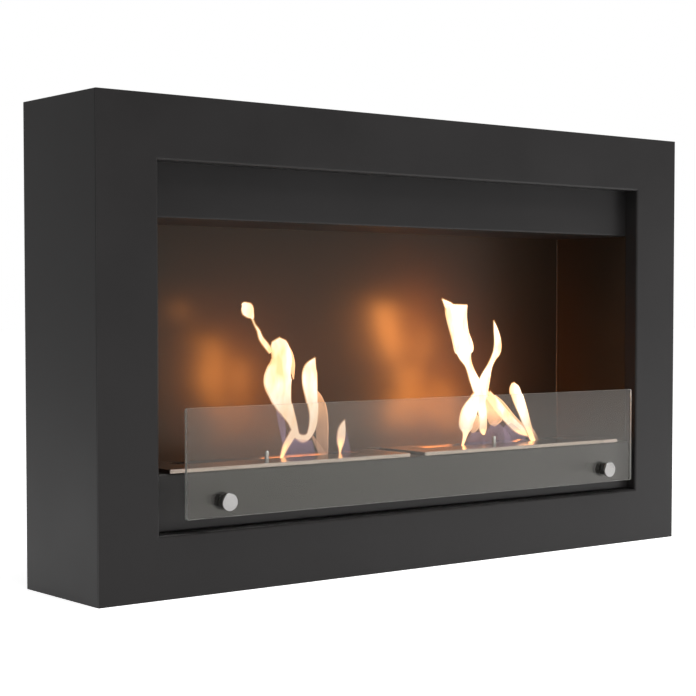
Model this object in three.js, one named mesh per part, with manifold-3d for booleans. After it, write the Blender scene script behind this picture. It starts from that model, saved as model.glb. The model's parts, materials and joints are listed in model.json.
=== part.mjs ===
// Wall-hung bioethanol fireplace: a folded steel box with two lift-out burners
// behind a low glass pane. Millimetres, +Z up. The origin is the centre of the
// underside, the front faces -Y and the wall is at +Y.

import * as THREE from 'three';
import { mergeVertices } from 'three/addons/utils/BufferGeometryUtils.js';
import Module from 'manifold-3d';

const wasm = await Module();
wasm.setup();

// ---------------------------------------------------------------- driving sizes

const casing_width = 900;
const casing_height = 540;
const casing_depth = 160;
const casing_sheet = 1.5;

const side_border = 75; // front face beside the opening
const top_border = 70;
const opening_sill = 70; // height of the opening's lower edge
const lip_depth = 20; // return lip round the opening
const frame_flange = 18; // outer flange, inside the casing walls
const seam_gap = 0.6; // shadow line between the face and the casing walls

const liner_sheet = 1.2;
const liner_air_gap = 8; // between the back liner and the casing
const liner_flange = 14;
const hood_height = 60; // hood front that shows in the opening
const rear_upstand = 12;

const shelf_height = 134;
const apron_setback = 15; // apron face behind the front face
const apron_foot = 14;
const bracket_leg = 18;
const bracket_sheet = 1.5;
const bracket_end_gap = 6;

const burner_end_margin = 21; // from the side liner to the rim
const burner_depth = 90;
const burner_spacing = 22;
const burner_overhang = 2; // rim in front of the apron
const burner_sheet = 1.2;
const rim_height = 4.2;
const rim_ledge = 10; // rim outside the tray walls
const tray_height = 50;
const tray_corner = 6;
const rim_corner = 3;

const slot_end_margin = 43.5; // from the end of the rim
const slot_corner = 3;
const shutter_overlap = 2.5; // past each long edge of the slot
const shutter_end_gap = 1.3; // behind the closed shutter
const shutter_sheet = 1.2;
const shutter_rail = 9;
const left_knob_x = -23.5; // from the burner's centre, along its length
const right_knob_x = -31;
const knob_height = 11.5; // above the rim
const knob_radius = 2.7;
const knob_shank_radius = 1.9;
const knob_dome = 1.2;
const rivet_head = 0.9;

const wool_height = 42;
const wool_clearance = 3;

const glass_side_margin = 25; // from the edge of the opening
const glass_height = 120;
const glass_thickness = 4;
const glass_sill = 86;
const glass_reach = 15; // glass face in front of the casing's front face
const glass_corner = 2;
const glass_hole_radius = 5;

const standoff_inset = 50; // from the end of the glass
const standoff_height = 103;
const cap_radius = 10;
const cap_thickness = 7.4;
const cap_edge = 0.8;
const cap_disc = 2.8; // thickness of the disc in front of the cap's neck
const barrel_radius = 6.5;
const gasket_radius = 7.5;
const gasket_thickness = 1;
const stud_radius = 3;
const stud_in_cap = 4.7;
const stud_past_nut = 1;
const nut_flats = 10;
const nut_thickness = 4;

const keyhole_inset = 150; // from the side of the casing
const keyhole_drop = 100; // below the top of the casing
const keyhole_head_radius = 6;
const keyhole_shank_radius = 3;
const keyhole_rise = 14;

const weld_place = 0.6; // share of a liner flange where its stud stands
const weld_stud_radius = 2;
const weld_stud_length = 8;
const weld_nut_flats = 7;
const weld_nut_thickness = 3.2;

const fit_gap = 0.3; // between pieces that touch
const drop_in_gap = 1; // between a burner tray and its hole in the shelf
const bend_radius = 1; // inside radius of a folded sheet
const bend_steps = 3;
const round_steps = 24;
const stud_steps = 12;
const standoff_sides = [-1, 1];
const burner_sides = [-1, 1];

// ---------------------------------------------------------------- derived places

const front_y = -casing_depth / 2;
const back_y = casing_depth / 2;
const opening_width = casing_width - 2 * side_border;
const opening_top = casing_height - top_border;
const opening_height = opening_top - opening_sill;
const opening_middle = opening_sill + opening_height / 2;
const lip_back_y = front_y + lip_depth;
const back_wall_y = back_y - casing_sheet;
const liner_front_y = lip_back_y + fit_gap;
const liner_back_y = back_wall_y - bend_radius; // clear of the fold in the casing
const back_liner_y = liner_back_y - liner_air_gap - liner_sheet;
const firebox_half_width = opening_width / 2 - fit_gap;
const hood_z = opening_top - hood_height;
const apron_y = front_y + apron_setback;
const burner_front_y = apron_y - burner_overhang;
const burner_length = (opening_width - burner_spacing) / 2 - burner_end_margin;
const burner_x = (burner_length + burner_spacing) / 2;
const burner_y = burner_front_y + burner_depth / 2;
const rim_bottom_z = shelf_height + fit_gap;
const rim_top_z = rim_bottom_z + rim_height;
const top_plate_z = rim_top_z - burner_sheet;
const tray_length = burner_length - 2 * rim_ledge;
const tray_depth = burner_depth - 2 * rim_ledge;
const tray_floor_z = top_plate_z - tray_height;
const slot_length = burner_length - 2 * slot_end_margin;
const shutter_front_y = burner_front_y + rim_ledge + burner_sheet + fit_gap;
const shutter_room = tray_depth - 2 * burner_sheet - fit_gap - shutter_end_gap;
const shutter_width = shutter_room / 2; // half the tray, so it clears the slot when open
const shutter_y = shutter_front_y + shutter_width / 2;
const slot_front_y = shutter_front_y + shutter_width + shutter_overlap;
const slot_back_y = shutter_front_y + 2 * shutter_width - shutter_overlap;
const shutter_z = top_plate_z - fit_gap - shutter_sheet;
const shutter_length = tray_length - 2 * burner_sheet - 2 * fit_gap;
const glass_width = opening_width - 2 * glass_side_margin;
const standoff_x = glass_width / 2 - standoff_inset;
const keyhole_x = casing_width / 2 - keyhole_inset;
const glass_front_y = front_y - glass_reach;
const glass_back_y = glass_front_y + glass_thickness;
const bore_radius = stud_radius + fit_gap;

// ---------------------------------------------------------------- materials

function finish(color, roughness, metalness) {
  return new THREE.MeshStandardMaterial({ color, roughness, metalness });
}

const black_powder = finish('#3a3938', 0.55, 0.1);
const black_liner = finish('#2c2725', 0.28, 0.2);
const bare_zinc = finish('#9a9c9d', 0.45, 0.8);
const brushed_steel = finish('#c9c7c4', 0.3, 1);
const satin_steel = finish('#d6d6d4', 0.22, 1);
const clear_glass = finish('#e6efec', 0.03, 0);
const soft_rubber = finish('#1d1d1d', 0.8, 0);
const white_wool = finish('#e9e6de', 0.95, 0);

// ---------------------------------------------------------------- solids and cuts

function toSolid(geometry) {
  const bare = geometry.index ? geometry.clone() : geometry;
  bare.deleteAttribute('normal');
  bare.deleteAttribute('uv');
  const merged = mergeVertices(bare, 1e-4);
  const vertProperties = new Float32Array(merged.attributes.position.array);
  const triVerts = new Uint32Array(merged.index.array);
  return new wasm.Manifold(new wasm.Mesh({ numProp: 3, vertProperties, triVerts }));
}

function toGeometry(solid) {
  const mesh = solid.getMesh();
  const geometry = new THREE.BufferGeometry();
  geometry.setAttribute('position', new THREE.BufferAttribute(mesh.vertProperties, 3));
  geometry.setIndex(new THREE.BufferAttribute(mesh.triVerts, 1));
  geometry.computeVertexNormals();
  return geometry;
}

function carve(body, cuts) {
  let solid = toSolid(body);
  for (const cut of cuts) {
    solid = solid.subtract(toSolid(cut));
  }
  return toGeometry(solid);
}

function join(pieces) {
  let solid = toSolid(pieces[0]);
  for (const piece of pieces.slice(1)) {
    solid = solid.add(toSolid(piece));
  }
  return toGeometry(solid);
}

// ---------------------------------------------------------------- basic forms

function roundedOutline(width, height, radius) {
  const x = width / 2;
  const y = height / 2;
  const outline = new THREE.Shape();
  outline.moveTo(x - radius, -y);
  outline.absarc(x - radius, -y + radius, radius, -Math.PI / 2, 0, false);
  outline.absarc(x - radius, y - radius, radius, 0, Math.PI / 2, false);
  outline.absarc(-x + radius, y - radius, radius, Math.PI / 2, Math.PI, false);
  outline.absarc(-x + radius, -y + radius, radius, Math.PI, 1.5 * Math.PI, false);
  outline.closePath();
  return outline;
}

function prism(outline, depth, curveSegments = 6) {
  return new THREE.ExtrudeGeometry(outline, { depth, curveSegments, bevelEnabled: false });
}

// A plate of rounded outline that lies flat, from z = bottom upwards.
function flatPlate(width, depth, thickness, radius, x, y, bottom) {
  return prism(roundedOutline(width, depth, radius), thickness).translate(x, y, bottom);
}

function block(x0, x1, y0, y1, z0, z1) {
  const box = new THREE.BoxGeometry(x1 - x0, y1 - y0, z1 - z0);
  return box.translate((x0 + x1) / 2, (y0 + y1) / 2, (z0 + z1) / 2);
}

// A round bar along Y, from y0 to y1.
function barAlongY(radius, x, y0, y1, z) {
  return new THREE.CylinderGeometry(radius, radius, y1 - y0, round_steps)
    .translate(x, (y0 + y1) / 2, z);
}

// A turned piece: [radius, distance] pairs round the Y axis.
function turned(profile, steps) {
  const points = profile.map(([radius, distance]) => new THREE.Vector2(radius, distance));
  return new THREE.LatheGeometry(points, steps);
}

// A tube with square ends round the Y axis: the profile closes on itself.
function ring(outer, inner, y0, y1) {
  return turned([[inner, y0], [outer, y0], [outer, y1], [inner, y1], [inner, y0]], round_steps);
}

// A hexagon nut whose bore lies along local Z.
function hexNut(flats, thickness, bore) {
  const outline = new THREE.Shape();
  const corner = flats / 2 / Math.cos(Math.PI / 6);
  for (let side = 0; side < 6; side += 1) {
    const angle = (side * Math.PI) / 3;
    const x = corner * Math.cos(angle);
    const y = corner * Math.sin(angle);
    if (side === 0) {
      outline.moveTo(x, y);
    } else {
      outline.lineTo(x, y);
    }
  }
  outline.closePath();
  const hole = new THREE.Path();
  hole.absarc(0, 0, bore, 0, 2 * Math.PI, true);
  outline.holes.push(hole);
  return prism(outline, thickness, 8);
}

// The outline of a sheet of the given thickness that follows a path of corners
// and lies on the path's left. Every fold gets the same inside radius.
function sheetOutline(corners, thickness) {
  const near = [];
  const far = [];
  const path = corners.map(([x, y]) => new THREE.Vector2(x, y));
  const leftOf = (direction) => new THREE.Vector2(-direction.y, direction.x);
  path.forEach((corner, i) => {
    if (i === 0 || i === path.length - 1) {
      const [from, to] = i === 0 ? [corner, path[1]] : [path[i - 1], corner];
      const side = leftOf(to.clone().sub(from).normalize());
      near.push(corner.clone());
      far.push(corner.clone().addScaledVector(side, thickness));
      return;
    }
    const before = corner.clone().sub(path[i - 1]).normalize();
    const after = path[i + 1].clone().sub(corner).normalize();
    const turn = Math.asin(before.cross(after));
    const side = Math.sign(turn);
    const radius = side > 0 ? bend_radius + thickness : bend_radius;
    const far_radius = radius - side * thickness;
    const centre = corner.clone()
      .addScaledVector(before, -radius * Math.tan(Math.abs(turn) / 2))
      .addScaledVector(leftOf(before), side * radius);
    const spoke = leftOf(before).multiplyScalar(-side);
    for (let step = 0; step <= bend_steps; step += 1) {
      const ray = spoke.clone().rotateAround(new THREE.Vector2(), (turn * step) / bend_steps);
      near.push(centre.clone().addScaledVector(ray, radius));
      far.push(centre.clone().addScaledVector(ray, far_radius));
    }
  });
  return new THREE.Shape([...near, ...far.reverse()]);
}

// A folded sheet with its section in the YZ plane, from x0 to x1.
function foldedAlongX(corners, thickness, x0, x1) {
  const section = sheetOutline(corners, thickness);
  const swap = new THREE.Matrix4().set(0, 0, 1, 0, 1, 0, 0, 0, 0, 1, 0, 0, 0, 0, 0, 1);
  return prism(section, x1 - x0).applyMatrix4(swap).translate(x0, 0, 0);
}

// A folded sheet with its section in the XZ plane, from y0 to y1.
function foldedAlongY(corners, thickness, y0, y1) {
  return prism(sheetOutline(corners, thickness), y1 - y0).rotateX(Math.PI / 2).translate(0, y1, 0);
}

// A solid through rectangles [halfX, halfZ, y, centreZ], with both ends filled
// or, if it closes on itself, mitred round as a frame.
function mitredSkin(rectangles, closed) {
  const positions = [];
  const signs = [[-1, -1], [1, -1], [1, 1], [-1, 1]];
  const corner = ([half_x, half_z, y, centre_z], index) => {
    const [sign_x, sign_z] = signs[index % 4];
    return [sign_x * half_x, y, centre_z + sign_z * half_z];
  };
  const quad = (a, b, c, d) => positions.push(...a, ...b, ...c, ...a, ...c, ...d);
  const last = closed ? rectangles.length : rectangles.length - 1;
  for (let i = 0; i < last; i += 1) {
    const next = rectangles[(i + 1) % rectangles.length];
    for (let side = 0; side < 4; side += 1) {
      quad(corner(rectangles[i], side), corner(rectangles[i], side + 1),
        corner(next, side + 1), corner(next, side));
    }
  }
  if (!closed) {
    const start = rectangles[0];
    const end = rectangles[rectangles.length - 1];
    quad(corner(start, 3), corner(start, 2), corner(start, 1), corner(start, 0));
    quad(corner(end, 0), corner(end, 1), corner(end, 2), corner(end, 3));
  }
  const geometry = new THREE.BufferGeometry();
  geometry.setAttribute('position', new THREE.Float32BufferAttribute(positions, 3));
  return geometry;
}

// Steps of a right-angle fold as [sine, cosine] pairs.
function foldSteps() {
  const steps = [];
  for (let step = 0; step <= bend_steps; step += 1) {
    const angle = (step / bend_steps) * (Math.PI / 2);
    steps.push([Math.sin(angle), Math.cos(angle)]);
  }
  return steps;
}

// ---------------------------------------------------------------- casing

// One blank, folded back round its outside and round the opening, and mitred.
// Its section runs round the outer flange, along the back of the face, round
// the lip of the opening and back along the face.
function frontFrame() {
  const sheet = casing_sheet;
  const outer_radius = bend_radius + sheet;
  const inset = casing_sheet + fit_gap;
  const flange_end_y = front_y + sheet + frame_flange;
  const outside = (margin, y) => (
    [casing_width / 2 - margin, casing_height / 2 - margin, y, casing_height / 2]
  );
  const hole = (margin, y) => (
    [opening_width / 2 + margin, opening_height / 2 + margin, y, opening_middle]
  );
  const section = [
    outside(0, front_y),
    outside(0, front_y + sheet),
    outside(inset, front_y + sheet),
    outside(inset, flange_end_y),
    outside(inset + sheet, flange_end_y),
    outside(inset + sheet, front_y + sheet),
  ];
  for (const [sine, cosine] of foldSteps()) {
    section.push(hole(outer_radius - bend_radius * sine, front_y + outer_radius - bend_radius * cosine));
  }
  section.push(hole(sheet, lip_back_y));
  section.push(hole(0, lip_back_y));
  for (const [sine, cosine] of foldSteps().reverse()) {
    section.push(hole(outer_radius - outer_radius * sine, front_y + outer_radius - outer_radius * cosine));
  }
  return mitredSkin(section.reverse(), true);
}

// A round-headed slot for one wall screw.
function keyhole(x) {
  const z = casing_height - keyhole_drop;
  const y0 = back_wall_y - casing_sheet;
  const y1 = back_y + casing_sheet;
  const half = keyhole_shank_radius;
  return [
    barAlongY(keyhole_head_radius, x, y0, y1, z),
    barAlongY(half, x, y0, y1, z + keyhole_rise),
    block(x - half, x + half, y0, y1, z, z + keyhole_rise),
  ];
}

// The casing's tray: a filled box with folds of one radius along its back edges.
function foldedTray(margin, front_end, back_end, radius) {
  const half_x = casing_width / 2 - margin;
  const half_z = casing_height / 2 - margin;
  const rectangles = [];
  for (const [sine, cosine] of foldSteps()) {
    const fall = radius * (1 - sine);
    rectangles.push([half_x - fall, half_z - fall, back_end - radius * (1 - cosine), casing_height / 2]);
  }
  rectangles.push([half_x, half_z, front_end, casing_height / 2]);
  return mitredSkin(rectangles, false);
}

function rearCasing() {
  const rim_y = front_y + casing_sheet + seam_gap;
  const outer = foldedTray(0, rim_y, back_y, bend_radius + casing_sheet);
  const inner = foldedTray(casing_sheet, rim_y - casing_sheet, back_wall_y, bend_radius);
  const shell = carve(outer, [inner, ...keyhole(-keyhole_x), ...keyhole(keyhole_x)]);
  return join([shell, ...weld_places.map(weldStud)]);
}

// ---------------------------------------------------------------- weld studs

// Where the liners and the hood are bolted to studs on the casing's walls.
const weld_x = opening_width / 2 + liner_flange * weld_place;
const weld_rear_y = liner_back_y - liner_flange;
const weld_front_y = liner_front_y + liner_flange * weld_place;
const weld_places = [
  { name: 'hood_nut_left', x: -opening_width / 3, y: weld_front_y, on_floor: false },
  { name: 'hood_nut_right', x: opening_width / 3, y: weld_front_y, on_floor: false },
  { name: 'left_liner_nut_front', x: -weld_x, y: weld_front_y, on_floor: true },
  { name: 'left_liner_nut_rear', x: -weld_x, y: weld_rear_y, on_floor: true },
  { name: 'right_liner_nut_front', x: weld_x, y: weld_front_y, on_floor: true },
  { name: 'right_liner_nut_rear', x: weld_x, y: weld_rear_y, on_floor: true },
];

function barAlongZ(radius, x, y, z0, z1) {
  return new THREE.CylinderGeometry(radius, radius, z1 - z0, stud_steps)
    .rotateX(Math.PI / 2).translate(x, y, (z0 + z1) / 2);
}

function weldStud({ x, y, on_floor }) {
  const root = casing_sheet / 2;
  const tip = casing_sheet + weld_stud_length;
  if (on_floor) {
    return barAlongZ(weld_stud_radius, x, y, root, tip);
  }
  return barAlongZ(weld_stud_radius, x, y, casing_height - tip, casing_height - root);
}

// The hole for a stud, longer than the flange is thick.
function weldHole({ x, y, on_floor }) {
  const reach = casing_sheet + fit_gap + 2 * liner_sheet;
  const z0 = on_floor ? 0 : casing_height - reach;
  return barAlongZ(weld_stud_radius + fit_gap, x, y, z0, z0 + reach);
}

function weldNut({ x, y, on_floor }) {
  const stack = casing_sheet + fit_gap + liner_sheet + fit_gap;
  const z = on_floor ? stack : casing_height - stack - weld_nut_thickness;
  return hexNut(weld_nut_flats, weld_nut_thickness, weld_stud_radius + fit_gap).translate(x, y, z);
}

const weldsNamed = (start) => weld_places.filter(({ name }) => name.startsWith(start));

// ---------------------------------------------------------------- firebox

const liner_foot_z = casing_sheet + fit_gap;
const liner_head_z = casing_height - casing_sheet - fit_gap;

function sideLiner(side, start) {
  const face = side * opening_width / 2;
  const flange = side * (opening_width / 2 + liner_flange);
  const corners = [
    [flange, liner_head_z],
    [face, liner_head_z],
    [face, liner_foot_z],
    [flange, liner_foot_z],
  ];
  if (side < 0) {
    corners.reverse();
  }
  const sheet = foldedAlongY(corners, liner_sheet, liner_front_y, liner_back_y);
  return carve(sheet, weldsNamed(start).map(weldHole));
}

function backLiner() {
  const corners = [
    [-firebox_half_width, liner_back_y],
    [-firebox_half_width, back_liner_y],
    [firebox_half_width, back_liner_y],
    [firebox_half_width, liner_back_y],
  ];
  const section = sheetOutline(corners, liner_sheet);
  return prism(section, liner_head_z - liner_foot_z).translate(0, 0, liner_foot_z);
}

// The sheet behind the top of the opening, folded back into the firebox roof.
function hood() {
  const rear_y = back_liner_y - fit_gap;
  const corners = [
    [liner_front_y + liner_flange, liner_head_z],
    [liner_front_y, liner_head_z],
    [liner_front_y, hood_z],
    [rear_y, hood_z],
    [rear_y, hood_z + rear_upstand],
  ];
  const sheet = foldedAlongX(corners, liner_sheet, -firebox_half_width, firebox_half_width);
  return carve(sheet, weldsNamed('hood').map(weldHole));
}

// The apron below the burners and the shelf that they drop into, in one sheet.
function burnerShelf() {
  const rear_y = back_liner_y - fit_gap;
  const foot_z = opening_sill + fit_gap;
  const corners = [
    [rear_y, shelf_height - rear_upstand],
    [rear_y, shelf_height],
    [apron_y, shelf_height],
    [apron_y, foot_z],
    [apron_y + apron_foot, foot_z],
  ];
  const sheet = foldedAlongX(corners, liner_sheet, -firebox_half_width, firebox_half_width);
  const cuts = burner_sides.map((side) => flatPlate(
    tray_length + 2 * drop_in_gap,
    tray_depth + 2 * drop_in_gap,
    2 * liner_sheet,
    tray_corner + drop_in_gap,
    side * burner_x,
    burner_y,
    shelf_height - 1.5 * liner_sheet,
  ));
  for (const side of standoff_sides) {
    const x = side * standoff_x;
    cuts.push(barAlongY(bore_radius, x, apron_y - liner_sheet, apron_y + 2 * liner_sheet, standoff_height));
  }
  return carve(sheet, cuts);
}

function shelfBracket(side) {
  const face = side * firebox_half_width;
  const top = shelf_height - liner_sheet - fit_gap;
  const corners = [
    [face, top - bracket_leg],
    [face, top],
    [face - side * bracket_leg, top],
  ];
  if (side < 0) {
    corners.reverse();
  }
  const y0 = apron_y + liner_sheet + bracket_end_gap;
  return foldedAlongY(corners, bracket_sheet, y0, back_liner_y - bracket_end_gap);
}

// ---------------------------------------------------------------- burners

// A welded stainless tray that hangs by its folded rim. Its top has the flame
// slot, and a narrow slot that lets the shutter's knob travel into it.
function burnerPan(knob_x) {
  const sheet = burner_sheet;
  const rim = flatPlate(burner_length, burner_depth, rim_height, rim_corner, 0, burner_y, rim_bottom_z);
  const tray = flatPlate(tray_length, tray_depth, tray_height, tray_corner, 0, burner_y, tray_floor_z);
  const under_rim = carve(
    flatPlate(burner_length - 2 * sheet, burner_depth - 2 * sheet, rim_height, rim_corner - sheet,
      0, burner_y, rim_bottom_z - sheet),
    [tray],
  );
  const inside = flatPlate(tray_length - 2 * sheet, tray_depth - 2 * sheet, tray_height - sheet,
    tray_corner - sheet, 0, burner_y, tray_floor_z + sheet);
  const over_slot = 3 * sheet;
  const slot = flatPlate(slot_length, slot_back_y - slot_front_y, over_slot, slot_corner,
    0, (slot_front_y + slot_back_y) / 2, top_plate_z - sheet);
  const guide_radius = knob_radius + fit_gap;
  const guide_end = barAlongZ(guide_radius, knob_x, shutter_y, top_plate_z - sheet,
    top_plate_z + 2 * sheet);
  const guide = block(knob_x - guide_radius, knob_x + guide_radius,
    shutter_y, slot_front_y + sheet, top_plate_z - sheet, top_plate_z + 2 * sheet);
  const hollow = carve(join([rim, tray]), [under_rim, inside, slot, guide_end, guide]);
  const rail_top = shutter_z - fit_gap;
  const wall_x = tray_length / 2 - sheet / 2;
  const rail_half_depth = tray_depth / 2 - sheet / 2;
  const rails = [-1, 1].map((side) => block(
    Math.min(side * wall_x, side * (wall_x - shutter_rail)),
    Math.max(side * wall_x, side * (wall_x - shutter_rail)),
    burner_y - rail_half_depth,
    burner_y + rail_half_depth,
    rail_top - shutter_sheet,
    rail_top,
  ));
  return join([hollow, ...rails]);
}

function shutter(knob_x) {
  const plate = flatPlate(shutter_length, shutter_width, shutter_sheet, tray_corner,
    0, shutter_y, shutter_z);
  const hole = barAlongZ(knob_shank_radius + fit_gap, knob_x, shutter_y,
    shutter_z - shutter_sheet, shutter_z + 2 * shutter_sheet);
  return carve(plate, [hole]);
}

// Riveted through the shutter: a head below it, a domed post above.
function shutterKnob(knob_x) {
  const plate_top = shutter_z + shutter_sheet + fit_gap;
  const head_top = shutter_z - fit_gap;
  const top = rim_top_z + knob_height;
  const profile = [
    [0, head_top - rivet_head],
    [knob_radius, head_top - rivet_head],
    [knob_radius, head_top],
    [knob_shank_radius, head_top],
    [knob_shank_radius, plate_top],
    [knob_radius, plate_top],
    [knob_radius, top - knob_dome],
    [knob_radius - knob_dome / 2, top - knob_dome / 4],
    [0, top],
  ];
  return turned(profile, stud_steps).rotateX(Math.PI / 2).translate(knob_x, shutter_y, 0);
}

function woolPad() {
  const clearance = burner_sheet + wool_clearance;
  return flatPlate(tray_length - 2 * clearance, tray_depth - 2 * clearance, wool_height,
    tray_corner, 0, burner_y, tray_floor_z + burner_sheet + fit_gap);
}

// ---------------------------------------------------------------- glass

function glassPane() {
  const outline = roundedOutline(glass_width, glass_height, glass_corner);
  const hole_z = standoff_height - glass_sill - glass_height / 2;
  for (const side of standoff_sides) {
    const hole = new THREE.Path();
    hole.absarc(side * standoff_x, hole_z, glass_hole_radius, 0, 2 * Math.PI, true);
    outline.holes.push(hole);
  }
  return prism(outline, glass_thickness, round_steps)
    .rotateX(Math.PI / 2)
    .translate(0, glass_back_y, glass_sill + glass_height / 2);
}

// The places along Y where one piece of a stand-off ends and the next begins.
const cap_back_y = glass_front_y - fit_gap - gasket_thickness - fit_gap;
const cap_front_y = cap_back_y - cap_thickness;
const barrel_front_y = glass_back_y + fit_gap + gasket_thickness + fit_gap;
const barrel_back_y = apron_y - fit_gap;
const standoff_nut_y = apron_y + liner_sheet + fit_gap;
const stud_front_y = cap_back_y - stud_in_cap;

// A turned disc with a rounded face, on a neck with a blind hole for the stud.
function standoffCap() {
  const profile = [[0, cap_front_y]];
  for (const [sine, cosine] of foldSteps()) {
    profile.push([cap_radius - cap_edge * (1 - sine), cap_front_y + cap_edge * (1 - cosine)]);
  }
  profile.push([cap_radius, cap_front_y + cap_disc]);
  profile.push([barrel_radius, cap_front_y + cap_disc]);
  profile.push([barrel_radius, cap_back_y]);
  profile.push([bore_radius, cap_back_y]);
  profile.push([bore_radius, stud_front_y - fit_gap]);
  profile.push([0, stud_front_y - fit_gap]);
  return turned(profile, round_steps);
}

function standoffParts(side) {
  const rear_gasket_y = glass_back_y + fit_gap;
  const front_gasket_y = glass_front_y - fit_gap - gasket_thickness;
  const gasket = (y) => ring(gasket_radius, bore_radius, y, y + gasket_thickness);
  const stud_back_y = standoff_nut_y + nut_thickness + stud_past_nut;
  const nut = hexNut(nut_flats, nut_thickness, bore_radius)
    .rotateX(Math.PI / 2).translate(0, standoff_nut_y + nut_thickness, 0);
  return [
    [`${side}_glass_cap`, standoffCap(), satin_steel],
    [`${side}_front_gasket`, gasket(front_gasket_y), soft_rubber],
    [`${side}_rear_gasket`, gasket(rear_gasket_y), soft_rubber],
    [`${side}_glass_barrel`, ring(barrel_radius, bore_radius, barrel_front_y, barrel_back_y), satin_steel],
    [`${side}_glass_stud`, barAlongY(stud_radius, 0, stud_front_y, stud_back_y, 0), bare_zinc],
    [`${side}_glass_nut`, nut, bare_zinc],
  ];
}

// ---------------------------------------------------------------- assembly

function piece(name, geometry, material, group) {
  const mesh = new THREE.Mesh(geometry, material);
  mesh.name = name;
  group.add(mesh);
}

const fireplace = new THREE.Group();
piece('front_frame', frontFrame(), black_powder, fireplace);
piece('rear_casing', rearCasing(), black_powder, fireplace);
piece('left_liner', sideLiner(-1, 'left_liner'), black_liner, fireplace);
piece('right_liner', sideLiner(1, 'right_liner'), black_liner, fireplace);
piece('back_liner', backLiner(), black_liner, fireplace);
piece('hood', hood(), black_powder, fireplace);
piece('burner_shelf', burnerShelf(), black_powder, fireplace);
piece('left_shelf_bracket', shelfBracket(-1), bare_zinc, fireplace);
piece('right_shelf_bracket', shelfBracket(1), bare_zinc, fireplace);
for (const place of weld_places) {
  piece(place.name, weldNut(place), bare_zinc, fireplace);
}
piece('glass_pane', glassPane(), clear_glass, fireplace);

for (const [name, side, knob_x] of [['left', -1, left_knob_x], ['right', 1, right_knob_x]]) {
  const burner = new THREE.Group();
  burner.position.x = side * burner_x;
  piece(`${name}_burner`, burnerPan(knob_x), brushed_steel, burner);
  piece(`${name}_shutter`, shutter(knob_x), brushed_steel, burner);
  piece(`${name}_shutter_knob`, shutterKnob(knob_x), satin_steel, burner);
  piece(`${name}_wool_pad`, woolPad(), white_wool, burner);
  fireplace.add(burner);

  const standoff = new THREE.Group();
  standoff.position.set(side * standoff_x, 0, standoff_height);
  for (const [part_name, geometry, material] of standoffParts(name)) {
    piece(part_name, geometry, material, standoff);
  }
  fireplace.add(standoff);
}

export default fireplace;
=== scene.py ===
"""Looks of a wall-hung bioethanol fireplace: black folded steel, two stainless
burners with living flames, and a low glass pane on turned stand-offs."""

import json
import math
from collections import namedtuple

import bmesh
import bpy
from mathutils import Matrix, Vector


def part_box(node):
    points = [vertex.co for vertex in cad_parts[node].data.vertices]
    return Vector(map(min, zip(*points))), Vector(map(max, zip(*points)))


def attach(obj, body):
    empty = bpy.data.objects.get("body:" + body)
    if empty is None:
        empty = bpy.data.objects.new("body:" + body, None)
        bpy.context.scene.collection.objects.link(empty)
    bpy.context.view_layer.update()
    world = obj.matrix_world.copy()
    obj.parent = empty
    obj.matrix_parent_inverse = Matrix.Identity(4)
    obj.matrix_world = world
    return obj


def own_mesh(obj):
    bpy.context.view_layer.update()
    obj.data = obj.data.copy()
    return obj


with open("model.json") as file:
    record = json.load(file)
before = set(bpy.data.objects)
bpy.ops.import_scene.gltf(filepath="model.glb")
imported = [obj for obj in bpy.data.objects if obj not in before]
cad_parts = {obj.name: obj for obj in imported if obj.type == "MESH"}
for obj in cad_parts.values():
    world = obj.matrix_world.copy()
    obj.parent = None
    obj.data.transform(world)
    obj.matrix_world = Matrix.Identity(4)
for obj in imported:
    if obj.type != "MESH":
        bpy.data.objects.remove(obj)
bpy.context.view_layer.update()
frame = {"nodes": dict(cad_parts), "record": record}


def add_object(name, data):
    made = bpy.data.objects.new(name, data)
    bpy.context.scene.collection.objects.link(made)
    return made


def mesh_object(name, bm, look, smooth=False):
    """A piece in one material, made of the faces in bm."""
    bmesh.ops.recalc_face_normals(bm, faces=bm.faces)
    mesh = bpy.data.meshes.new(name)
    bm.to_mesh(mesh)
    bm.free()
    for face in mesh.polygons:
        face.use_smooth = smooth
    mesh.materials.append(look)
    return add_object(name, mesh)


# ------------------------------------------------------------------ camera

IMAGE_SIZE = 696  # pixels, square
FOCAL_LENGTH = 1680.6  # pixels
AXIS_ROW = 381.8  # pixels, from the top of the image to the optical axis
SENSOR_WIDTH = 36.0
CAMERA_PLACE = Vector((-1.3289, -1.6040, 0.3112))
CAMERA_YAW = math.radians(38.46)
CAMERA_PITCH = math.radians(-2.45)


def make_camera():
    data = bpy.data.cameras.new("camera")
    data.sensor_width = SENSOR_WIDTH
    data.lens = FOCAL_LENGTH * SENSOR_WIDTH / IMAGE_SIZE
    data.shift_y = (AXIS_ROW - IMAGE_SIZE / 2) / IMAGE_SIZE
    camera = add_object("camera", data)
    ahead = Vector((
        math.sin(CAMERA_YAW) * math.cos(CAMERA_PITCH),
        math.cos(CAMERA_YAW) * math.cos(CAMERA_PITCH),
        math.sin(CAMERA_PITCH),
    ))
    right = Vector((math.cos(CAMERA_YAW), -math.sin(CAMERA_YAW), 0.0))
    up = right.cross(ahead)
    turn = Matrix((right, up, -ahead)).transposed().to_4x4()
    camera.matrix_world = Matrix.Translation(CAMERA_PLACE) @ turn
    bpy.context.scene.camera = camera


make_camera()

# ------------------------------------------------------------------ materials

# Nearly all values of a noise pattern lie between these two.
NOISE_LOW = 0.3
NOISE_HIGH = 0.7


def new_material(name):
    material = bpy.data.materials.new(name)
    material.use_nodes = True
    tree = material.node_tree
    return material, tree, tree.nodes["Principled BSDF"]


def node(tree, kind, inputs=(), **settings):
    """A new node, with the values of its inputs as pairs."""
    made = tree.nodes.new(kind)
    for key, value in settings.items():
        setattr(made, key, value)
    for key, value in inputs:
        made.inputs[key].default_value = value
    return made


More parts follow.
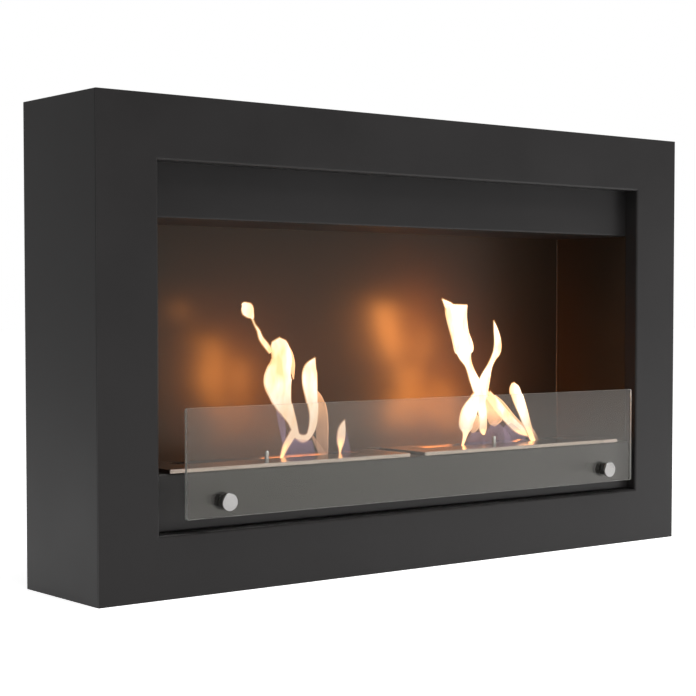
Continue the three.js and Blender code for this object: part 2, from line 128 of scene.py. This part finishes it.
def object_noise(tree, scale, detail, stretch=(1.0, 1.0, 1.0)):
    """A noise pattern fixed to the piece, long along the axes of small stretch."""
    place = node(tree, "ShaderNodeTexCoord")
    mapping = node(tree, "ShaderNodeMapping", [("Scale", stretch)])
    noise = node(tree, "ShaderNodeTexNoise", [("Scale", scale), ("Detail", detail)])
    tree.links.new(place.outputs["Object"], mapping.inputs["Vector"])
    tree.links.new(mapping.outputs["Vector"], noise.inputs["Vector"])
    return noise


def spread(tree, source, low, high, start=NOISE_LOW, end=NOISE_HIGH):
    """Maps values from start..end to low..high."""
    ranged = node(tree, "ShaderNodeMapRange", [
        ("From Min", start), ("From Max", end), ("To Min", low), ("To Max", high)])
    tree.links.new(source, ranged.inputs["Value"])
    return ranged.outputs["Result"]


def tint(tree, source, dark, light):
    """A noise pattern's values as colours from dark to light."""
    ramp = node(tree, "ShaderNodeValToRGB")
    first, last = ramp.color_ramp.elements
    first.position = NOISE_LOW
    first.color = (*dark, 1.0)
    last.position = NOISE_HIGH
    last.color = (*light, 1.0)
    tree.links.new(source, ramp.inputs["Fac"])
    return ramp.outputs["Color"]


def add_bump(tree, shader, source, distance, strength=0.5):
    bump = node(tree, "ShaderNodeBump", [("Strength", strength), ("Distance", distance)])
    tree.links.new(source, bump.inputs["Height"])
    tree.links.new(bump.outputs["Normal"], shader.inputs["Normal"])


def coated_steel(name, dark, light, rough, gloss_colour, grain, bump_depth, coat=()):
    """A baked coating on sheet steel, with fine orange peel and cloudy gloss. The
    coat is a list of shader inputs and their values."""
    material, tree, shader = new_material(name)
    clouds = object_noise(tree, scale=9.0, detail=5.0)
    peel = object_noise(tree, scale=grain, detail=2.0)
    tree.links.new(tint(tree, clouds.outputs["Fac"], dark, light), shader.inputs["Base Color"])
    tree.links.new(spread(tree, clouds.outputs["Fac"], *rough), shader.inputs["Roughness"])
    shader.inputs["Specular Tint"].default_value = (*gloss_colour, 1.0)
    for key, value in coat:
        shader.inputs[key].default_value = value
    add_bump(tree, shader, peel.outputs["Fac"], bump_depth)
    return material


def bare_steel(name, dark, light, rough, grain=900.0, stretch=(1.0, 1.0, 1.0)):
    """Uncoated steel. Its marks run along the axis of the smallest stretch."""
    material, tree, shader = new_material(name)
    marks = object_noise(tree, scale=grain, detail=6.0, stretch=stretch)
    clouds = object_noise(tree, scale=25.0, detail=3.0)
    tree.links.new(tint(tree, marks.outputs["Fac"], dark, light), shader.inputs["Base Color"])
    tree.links.new(spread(tree, clouds.outputs["Fac"], *rough), shader.inputs["Roughness"])
    shader.inputs["Metallic"].default_value = 1.0
    add_bump(tree, shader, marks.outputs["Fac"], distance=0.00004)
    return material


def clear_glass(edge_transmission, edge_roughness):
    """Clear faces; the edges, whose normals lie off the Y axis, are ground."""
    material, tree, shader = new_material("clear_glass")
    shader.inputs["Base Color"].default_value = (0.96, 0.96, 0.92, 1.0)
    # The warm gloss colour is painted firelight: it warms whatever the pane reflects.
    shader.inputs["Specular Tint"].default_value = (1.0, 0.955, 0.89, 1.0)
    shader.inputs["IOR"].default_value = 1.37
    place = node(tree, "ShaderNodeTexCoord")
    axes = node(tree, "ShaderNodeSeparateXYZ")
    size = node(tree, "ShaderNodeMath", operation="ABSOLUTE")
    edge = node(tree, "ShaderNodeMath", [(1, 0.5)], operation="LESS_THAN")
    tree.links.new(place.outputs["Normal"], axes.inputs["Vector"])
    tree.links.new(axes.outputs["Y"], size.inputs[0])
    tree.links.new(size.outputs[0], edge.inputs[0])
    transmission = spread(tree, edge.outputs[0], 1.0, edge_transmission, start=0.0, end=1.0)
    roughness = spread(tree, edge.outputs[0], 0.0, edge_roughness, start=0.0, end=1.0)
    tree.links.new(transmission, shader.inputs["Transmission Weight"])
    tree.links.new(roughness, shader.inputs["Roughness"])
    return material


def soft_rubber():
    material, tree, shader = new_material("black_rubber")
    grain = object_noise(tree, scale=2500.0, detail=3.0)
    colours = tint(tree, grain.outputs["Fac"], dark=(0.012, 0.012, 0.012), light=(0.028, 0.028, 0.028))
    tree.links.new(colours, shader.inputs["Base Color"])
    tree.links.new(spread(tree, grain.outputs["Fac"], low=0.6, high=0.85), shader.inputs["Roughness"])
    add_bump(tree, shader, grain.outputs["Fac"], distance=0.00003)
    return material


def ceramic_wool():
    material, tree, shader = new_material("ceramic_wool")
    fibres = object_noise(tree, scale=420.0, detail=8.0, stretch=(0.35, 1.0, 1.0))
    colours = tint(tree, fibres.outputs["Fac"], dark=(0.55, 0.53, 0.48), light=(0.86, 0.84, 0.8))
    tree.links.new(colours, shader.inputs["Base Color"])
    shader.inputs["Roughness"].default_value = 0.95
    add_bump(tree, shader, fibres.outputs["Fac"], distance=0.0012, strength=0.9)
    return material


SLOT_LOOKS = {
    "black_powder_coat": coated_steel(
        "black_powder_coat", dark=(0.018, 0.0168, 0.0168), light=(0.023, 0.0215, 0.0215),
        rough=(0.33, 0.41), gloss_colour=(0.55, 0.54, 0.54), grain=1400.0, bump_depth=0.00004),
    # Black enamel with painted firelight: its brown base colour and orange gloss colour warm the liner
    # and its reflections as the flames' light does.
    "black_gloss_enamel": coated_steel(
        "black_gloss_enamel", dark=(0.022, 0.015, 0.0105), light=(0.029, 0.019, 0.0125),
        rough=(0.49, 0.55), gloss_colour=(0.43, 0.32, 0.2), grain=700.0, bump_depth=0.00002,
        coat=[("Coat Weight", 0.46), ("Coat Roughness", 0.33)]),
    "zinc_plated_steel": bare_steel(
        "zinc_plated_steel", dark=(0.42, 0.43, 0.44), light=(0.6, 0.61, 0.62),
        rough=(0.35, 0.5), grain=140.0),
    "brushed_stainless": bare_steel(
        "brushed_stainless", dark=(0.25, 0.202, 0.175), light=(0.33, 0.273, 0.238),
        rough=(0.14, 0.2), stretch=(0.02, 1.0, 1.0)),
    "satin_stainless": bare_steel(
        "satin_stainless", dark=(0.31, 0.305, 0.3), light=(0.43, 0.42, 0.41),
        rough=(0.2, 0.28), stretch=(1.0, 0.05, 1.0)),
    "clear_glass": clear_glass(edge_transmission=0.75, edge_roughness=0.45),
    "black_rubber": soft_rubber(),
    "ceramic_wool": ceramic_wool(),
}


def dress_nodes():
    for part in frame["record"]["subparts"]:
        mesh = frame["nodes"][part["node"]].data
        mesh.materials.clear()
        mesh.materials.append(SLOT_LOOKS[part["material_slot"]])


dress_nodes()

# ------------------------------------------------------------------ corner beads

# In metres.
BEAD_RADIUS = 0.0018
BEAD_GAP = 0.0003  # to the shelf below and the hood above
BEAD_STEPS = 10


def bead_outline(corner_x, corner_y, inwards):
    """A bead in plan: the corner, and a hollow quarter round in front of it."""
    middle_x = corner_x + inwards * BEAD_RADIUS
    middle_y = corner_y - BEAD_RADIUS
    outline = [(corner_x, corner_y)]
    for step in range(BEAD_STEPS + 1):
        angle = math.pi / 2 * step / BEAD_STEPS
        x = middle_x - inwards * BEAD_RADIUS * math.cos(angle)
        outline.append((x, middle_y + BEAD_RADIUS * math.sin(angle)))
    return outline


def corner_bead(side, corner_x, inwards):
    """The bead where the back liner meets a side liner, from shelf to hood."""
    back_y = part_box("back_liner")[0][1]
    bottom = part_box("burner_shelf")[1][2] + BEAD_GAP
    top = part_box("hood")[0][2] - BEAD_GAP
    outline = bead_outline(corner_x, back_y, inwards)
    bm = bmesh.new()
    feet = [bm.verts.new((x, y, bottom)) for x, y in outline]
    heads = [bm.verts.new((x, y, top)) for x, y in outline]
    for i in range(len(outline)):
        after = (i + 1) % len(outline)
        bm.faces.new((feet[i], feet[after], heads[after], heads[i]))
    bm.faces.new(feet)
    bm.faces.new(heads)
    bead = mesh_object(f"{side}_corner_bead", bm, SLOT_LOOKS["black_gloss_enamel"])
    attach(bead, "casing")


corner_bead("left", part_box("back_liner")[0][0], inwards=1)
corner_bead("right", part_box("back_liner")[1][0], inwards=-1)

# ------------------------------------------------------------------ flames

# Sizes and places are in millimetres, and the scene is in metres.
MM = 0.001
SLOT_MIDDLE_Y = -6.0
BED_Y = -16.0  # near the front edge of the slot

# Each flame is a stroke of (x, z, width) points, from its foot upwards or along
# its curl. Tongues are bright, hazes are the pale gas beside them and veils the
# thin blue gas near the fuel. Beds burn low in the slot, behind the rim.
LEFT_FLAMES = {
    "tongue": {
        "spark": [(-201, 300, 2), (-202, 303, 6), (-205, 307, 13), (-208, 311, 17), (-211, 314, 15),
                  (-214, 317, 8), (-216, 318, 2)],
        "neck": [(-175, 262, 6), (-182, 270, 7), (-189, 278, 6), (-193, 287, 4), (-198, 294, 2),
                 (-201, 300, 2)],
        "body": [(-139, 163, 8), (-142, 171, 10), (-146, 181, 13), (-153, 193, 20), (-158, 202, 26),
                 (-162, 214, 33), (-165, 227, 40), (-164, 236, 37), (-161, 245, 31), (-159, 254, 29),
                 (-161, 263, 27), (-165, 270, 24), (-168, 276, 12)],
        "curl": [(-141, 167, 10), (-137, 161, 8), (-129, 158, 9), (-121, 161, 8), (-115, 172, 11),
                 (-113, 187, 13), (-115, 204, 17), (-118, 226, 22), (-117, 241, 19), (-110, 254, 1)],
        "leg": [(-164, 129, 4), (-161, 137, 6), (-155, 150, 9), (-149, 158, 10), (-142, 167, 11)],
        "flicker": [(-74, 129, 3), (-73, 141, 5), (-72, 153, 12), (-70, 167, 11), (-66, 178, 1)],
    },
    "haze": {
        "side": [(-98, 130, 10), (-99, 143, 16), (-100, 155, 18), (-100, 169, 19), (-101, 190, 17),
                 (-103, 204, 10), (-107, 214, 2)],
        "foot": [(-93, 129, 5), (-101, 140, 8), (-107, 148, 7), (-116, 162, 2)],
        "flank": [(-142, 229, 1), (-143, 237, 5), (-144, 248, 8), (-147, 259, 8), (-153, 269, 6),
                  (-159, 276, 2)],
    },
    "veil": {
        "under": [(-133, 129, 52), (-132, 143, 42), (-130, 157, 30)],
        "blue": [(-158, 155, 4), (-159, 170, 9), (-163, 187, 9), (-168, 199, 2)],
        "flicker": [(-63, 129, 14), (-63, 143, 11), (-63, 163, 1)],
    },
    "bed": {
        "inner": [(-150, 132.7, 1.5), (-108, 132.7, 3.4), (-62, 132.7, 1.5)],
    },
}
RIGHT_FLAMES = {
    "tongue": {
        "tall": [(159, 205, 21), (148, 222, 15), (139, 240, 12), (133, 252, 21), (131, 261, 32),
                 (124, 279, 30), (119, 297, 33), (117, 309, 36), (117, 318, 37)],
        "tip": [(118, 297, 28), (108, 311, 18), (100, 319, 9), (93, 325, 1)],
        "wisp": [(160, 202, 24), (168, 222, 17), (176, 238, 9), (183, 249, 9), (189, 258, 13),
                 (190, 270, 12), (187, 284, 8), (183, 297, 1)],
        "loop": [(124, 131, 3), (129, 142, 6), (132, 152, 10), (133, 160, 22), (134, 168, 25),
                 (138, 178, 26), (145, 188, 22), (155, 198, 19), (160, 207, 18)],
        "curl": [(165, 149, 4), (163, 157, 13), (162, 178, 15), (158, 192, 19), (158, 202, 25)],
        "branch": [(244, 144, 3), (234, 151, 12), (222, 158, 15), (208, 169, 15), (196, 179, 15),
                   (185, 190, 14), (173, 201, 12)],
        "arm": [(260, 129, 4), (254, 138, 9), (245, 154, 13), (236, 175, 16), (226, 195, 19),
                (220, 208, 17), (218, 215, 5)],
    },
    "haze": {
        "branch": [(252, 143, 4), (236, 152, 12), (214, 166, 17), (192, 186, 17), (170, 203, 8)],
        "curl": [(145, 152, 3), (146, 158, 17), (147, 165, 21), (149, 171, 15), (151, 176, 5)],
        "fill": [(166, 202, 8), (173, 190, 17), (180, 178, 24), (186, 170, 27), (190, 163, 16)],
        "foot": [(264, 129, 8), (254, 142, 14), (246, 156, 8)],
    },
    "veil": {
        "loop": [(151, 129, 40), (151, 143, 30), (151, 153, 14)],
        "middle": [(188, 129, 56), (186, 147, 44), (183, 166, 6)],
        "branch": [(222, 129, 44), (218, 144, 34), (208, 161, 20)],
    },
    "bed": {
        "inner": [(62, 132.7, 1.5), (108, 132.7, 3.4), (150, 132.7, 1.5)],
    },
}
# Heights, in metres, between which the light grows from pale foot to bright heart.
LEFT_GROWTH = (0.142, 0.225)
LEFT_CORE_GROWTH = (0.090, 0.235)
RIGHT_GROWTH = (0.128, 0.180)
RIGHT_CORE_GROWTH = (0.030, 0.290)
FOOT_FADE = (0.130, 0.158)  # heights between which a flame becomes fully dense
FOOT_COVER = 0.25

EMBER = (1.0, 0.34, 0.08)
WHITE_HOT = (1.0, 0.96, 0.80)
CREAM = (1.0, 0.60, 0.27)

# A light's colour and strength.
Light = namedtuple("Light", "colour strength")


def flame_look(name, growth, foot, heart, alpha, flicker=0.0, mottle=None, swell=3.0):
    """Gas whose light grows from foot to heart, by height alone. The mottle is a
    second colour that clouds the heart."""
    material, tree, shader = new_material(name)
    shader.inputs["Base Color"].default_value = (0.0, 0.0, 0.0, 1.0)
    shader.inputs["Specular IOR Level"].default_value = 0.0
    place = node(tree, "ShaderNodeTexCoord")
    axes = node(tree, "ShaderNodeSeparateXYZ")
    tree.links.new(place.outputs["Object"], axes.inputs["Vector"])
    height = spread(tree, axes.outputs["Z"], 0.0, 1.0, *growth)

    clouds = object_noise(tree, scale=48.0, detail=2.0, stretch=(1.3, 1.0, 0.5))
    heart_colours = tint(tree, clouds.outputs["Fac"], mottle or heart.colour, heart.colour)
    colour = node(tree, "ShaderNodeMix", data_type="RGBA")
    colour.inputs["A"].default_value = (*foot.colour, 1.0)
    tree.links.new(heart_colours, colour.inputs["B"])
    tree.links.new(height, colour.inputs["Factor"])
    tree.links.new(colour.outputs["Result"], shader.inputs["Emission Color"])

    rise = node(tree, "ShaderNodeMath", [(1, swell)], operation="POWER")
    tree.links.new(height, rise.inputs[0])
    strength = spread(tree, rise.outputs[0], foot.strength, heart.strength, start=0.0, end=1.0)
    tree.links.new(strength, shader.inputs["Emission Strength"])

    wisps = object_noise(tree, scale=55.0, detail=3.0, stretch=(1.0, 1.0, 0.45))
    thickness = spread(tree, wisps.outputs["Fac"], alpha - flicker, alpha + flicker)
    fade = spread(tree, axes.outputs["Z"], FOOT_COVER, 1.0, *FOOT_FADE)
    cover = node(tree, "ShaderNodeMath", operation="MULTIPLY")
    tree.links.new(thickness, cover.inputs[0])
    tree.links.new(fade, cover.inputs[1])
    tree.links.new(cover.outputs[0], shader.inputs["Alpha"])
    return material


def burner_looks(side, growth, core_growth, core_strength, skin_strength):
    """The hot core lights the firebox. The skin in front of it is what is seen."""
    def look(part, foot, heart, alpha, **more):
        return flame_look(f"{side}_flame_{part}", growth, Light(*foot), Light(*heart), alpha, **more)
    return {
        "core": flame_look(f"{side}_flame_core", core_growth, Light(EMBER, 0.8),
                           Light(EMBER, core_strength), alpha=1.0, swell=1.0),
        "bed": look("bed", (EMBER, 12.0), (EMBER, 12.0), alpha=1.0),
        "skin": look("skin", ((0.95, 0.62, 0.43), 0.95), (WHITE_HOT, skin_strength), alpha=1.0,
                     mottle=CREAM),
        "glow": look("glow", ((0.9, 0.5, 0.36), 0.8), ((1.0, 0.72, 0.36), 1.1), alpha=0.45,
                     flicker=0.15),
        "rim": look("rim", ((0.6, 0.3, 0.3), 0.5), ((1.0, 0.36, 0.08), 0.9), alpha=0.2,
                    flicker=0.1),
        "haze": look("haze", ((0.75, 0.42, 0.28), 0.8), ((1.0, 0.5, 0.24), 2.4), alpha=0.62,
                     flicker=0.2),
        "veil": look("veil", ((0.46, 0.31, 0.5), 0.6), ((0.6, 0.38, 0.48), 0.65), alpha=0.27,
                     flicker=0.1),
    }


# A shell of a flame: its look, its margin beyond the stroke, its depth over its
# width, and whether it is open at the back.
Shell = namedtuple("Shell", "look margin depth open_back")

# A tongue's glow and rim are thinner than its skin, and show only round its edge.
SHELLS = {
    "tongue": (
        Shell("core", -1.6, 0.30, False),
        Shell("skin", -0.3, 0.42, True),
        Shell("glow", 0.5, 0.22, True),
        Shell("rim", 1.3, 0.12, True),
    ),
    "haze": (Shell("haze", 0.0, 0.3, True),),
    "veil": (Shell("veil", 0.0, 0.3, False),),
    "bed": (Shell("bed", 0.0, 0.3, False),),
}
BACK_OPENING = 0.6  # sine of the angle at which an open shell ends
FLAME_SIDES = 14
FLAME_STEPS = 9  # rings between two points of a stroke
LEAST_HALF_WIDTH = 0.5


def smooth_stroke(points):
    """Catmull-Rom points through a stroke of (x, z, width)."""
    ends = [points[0], *points, points[-1]]
    result = []
    for a, b, c, d in zip(ends, ends[1:], ends[2:], ends[3:]):
        for step in range(FLAME_STEPS):
            t = step / FLAME_STEPS
            result.append(tuple(
                0.5 * (2 * q + (r - p) * t + (2 * p - 5 * q + 4 * r - s) * t ** 2
                       + (3 * q - p - 3 * r + s) * t ** 3)
                for p, q, r, s in zip(a, b, c, d)))
    result.append(points[-1])
    return result


def flame_section(bm, x, z, along, half_width, half_depth, middle_y):
    """A ring of points round a place on the stroke, square to its direction."""
    loop = []
    for side in range(FLAME_SIDES):
        angle = 2 * math.pi * side / FLAME_SIDES
        out = half_width * math.cos(angle)
        place = (x + along.y * out, middle_y + half_depth * math.sin(angle), z - along.x * out)
        loop.append(bm.verts.new([value * MM for value in place]))
    return loop


def make_flame(name, stroke, look, middle_y, shell):
    """A flame of elliptical section that follows a stroke."""
    rings = smooth_stroke(stroke)
    bm = bmesh.new()
    loops = []
    for i, (x, z, width) in enumerate(rings):
        before = rings[max(i - 1, 0)]
        after = rings[min(i + 1, len(rings) - 1)]
        along = Vector((after[0] - before[0], after[1] - before[1])).normalized()
        half = max(width / 2 + shell.margin, LEAST_HALF_WIDTH + shell.margin / 4)
        if i == len(rings) - 1:  # the margin goes round the tip as well
            x, z = x + along.x * shell.margin, z + along.y * shell.margin
        loops.append(flame_section(bm, x, z, along, half, half * shell.depth, middle_y))
    for low, high in zip(loops, loops[1:]):
        for side in range(FLAME_SIDES):
            next_side = (side + 1) % FLAME_SIDES
            facing = math.sin(2 * math.pi * (side + 0.5) / FLAME_SIDES)
            if not (shell.open_back and facing > BACK_OPENING):
                bm.faces.new((low[side], low[next_side], high[next_side], high[side]))
    bm.faces.new(loops[0][::-1])
    bm.faces.new(loops[-1])
    return mesh_object(name, bm, look, smooth=True)


def light_burner(side, flames, looks):
    """The flames of one burner. They lift with it."""
    for kind, strokes in flames.items():
        middle_y = BED_Y if kind == "bed" else SLOT_MIDDLE_Y
        for name, stroke in strokes.items():
            for shell in SHELLS[kind]:
                full_name = f"{side}_{kind}_{name}_{shell.look}"
                piece = make_flame(full_name, stroke, looks[shell.look], middle_y, shell)
                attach(piece, f"{side}_burner_insert")
                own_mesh(piece)


light_burner("left", LEFT_FLAMES, burner_looks(
    "left", LEFT_GROWTH, LEFT_CORE_GROWTH, core_strength=29.0, skin_strength=1.5))
light_burner("right", RIGHT_FLAMES, burner_looks(
    "right", RIGHT_GROWTH, RIGHT_CORE_GROWTH, core_strength=54.0, skin_strength=1.9))

# ------------------------------------------------------------------ studio

FLOOR_SIZE = 40.0
FLOOR_LIFT = 0.8  # as the camera sees it
GLOSS_LIFT = (0.2, 1.05)  # as gloss shows it, at the left and the right
GLOSS_REACH = 2.0  # X of the places where these are reached, in metres
HORIZON_LIGHT = (0.45, 0.56)  # at the left and the right
HORIZON_REACH = 0.9  # X of the directions where these are reached
OVERHEAD_LIGHT = 0.5  # as a share of the horizon's
DIMMING = (-0.05, 0.4)  # Z of the directions between which the sky dims


def make_floor():
    """Pale floor: what is seen of it is lifted to white, less the object's shadow."""
    mesh = bpy.data.meshes.new("floor")
    half = FLOOR_SIZE / 2
    corners = [(-half, -half, 0), (half, -half, 0), (half, half, 0), (-half, half, 0)]
    mesh.from_pydata(corners, [], [(0, 1, 2, 3)])
    material, tree, shader = new_material("floor")
    shader.inputs["Base Color"].default_value = (0.9, 0.9, 0.9, 1.0)
    shader.inputs["Roughness"].default_value = 0.9
    shader.inputs["Specular IOR Level"].default_value = 0.0
    shader.inputs["Emission Color"].default_value = (1.0, 1.0, 1.0, 1.0)
    path = node(tree, "ShaderNodeLightPath")
    place = node(tree, "ShaderNodeTexCoord")
    axes = node(tree, "ShaderNodeSeparateXYZ")
    shine = node(tree, "ShaderNodeMath", operation="MULTIPLY")
    lift = node(tree, "ShaderNodeMath", [(1, FLOOR_LIFT)], operation="MULTIPLY_ADD")
    tree.links.new(place.outputs["Object"], axes.inputs["Vector"])
    in_gloss = spread(tree, axes.outputs["X"], *GLOSS_LIFT, start=-GLOSS_REACH, end=GLOSS_REACH)
    tree.links.new(path.outputs["Is Glossy Ray"], shine.inputs[0])
    tree.links.new(in_gloss, shine.inputs[1])
    tree.links.new(path.outputs["Is Camera Ray"], lift.inputs[0])
    tree.links.new(shine.outputs[0], lift.inputs[2])
    tree.links.new(lift.outputs[0], shader.inputs["Emission Strength"])
    mesh.materials.append(material)
    add_object("floor", mesh)


def make_world():
    """White where it is seen or shows through glass. In gloss and as light it
    is a studio that is pale at the horizon and dim overhead."""
    world = bpy.data.worlds.new("studio")
    bpy.context.scene.world = world
    world.use_nodes = True
    tree = world.node_tree
    background = tree.nodes["Background"]
    background.inputs["Color"].default_value = (1.0, 1.0, 1.0, 1.0)
    place = node(tree, "ShaderNodeTexCoord")
    axes = node(tree, "ShaderNodeSeparateXYZ")
    path = node(tree, "ShaderNodeLightPath")
    seen = node(tree, "ShaderNodeMath", operation="MAXIMUM")
    sky = node(tree, "ShaderNodeMath", operation="MULTIPLY")
    strength = node(tree, "ShaderNodeMix", [("B", 1.0)], data_type="FLOAT")
    tree.links.new(place.outputs["Generated"], axes.inputs["Vector"])
    horizon = spread(tree, axes.outputs["X"], *HORIZON_LIGHT, start=-HORIZON_REACH, end=HORIZON_REACH)
    fade = spread(tree, axes.outputs["Z"], 1.0, OVERHEAD_LIGHT, *DIMMING)
    tree.links.new(horizon, sky.inputs[0])
    tree.links.new(fade, sky.inputs[1])
    tree.links.new(path.outputs["Is Camera Ray"], seen.inputs[0])
    tree.links.new(path.outputs["Is Transmission Ray"], seen.inputs[1])
    tree.links.new(seen.outputs[0], strength.inputs["Factor"])
    tree.links.new(sky.outputs[0], strength.inputs["A"])
    tree.links.new(strength.outputs["Result"], background.inputs["Strength"])


def area_light(name, place, target, size, power):
    data = bpy.data.lights.new(name, "AREA")
    data.shape = "RECTANGLE"
    data.size, data.size_y = size
    data.energy = power
    lamp = add_object(name, data)
    lamp.location = place
    lamp.rotation_euler = (Vector(target) - Vector(place)).to_track_quat("-Z", "Y").to_euler()


make_floor()
make_world()
area_light("top_softbox", place=(0.5, -1.2, 2.7), target=(0.4, -0.7, 0.0), size=(2.4, 1.8), power=60.0)

bpy.context.scene.view_settings.view_transform = "Standard"
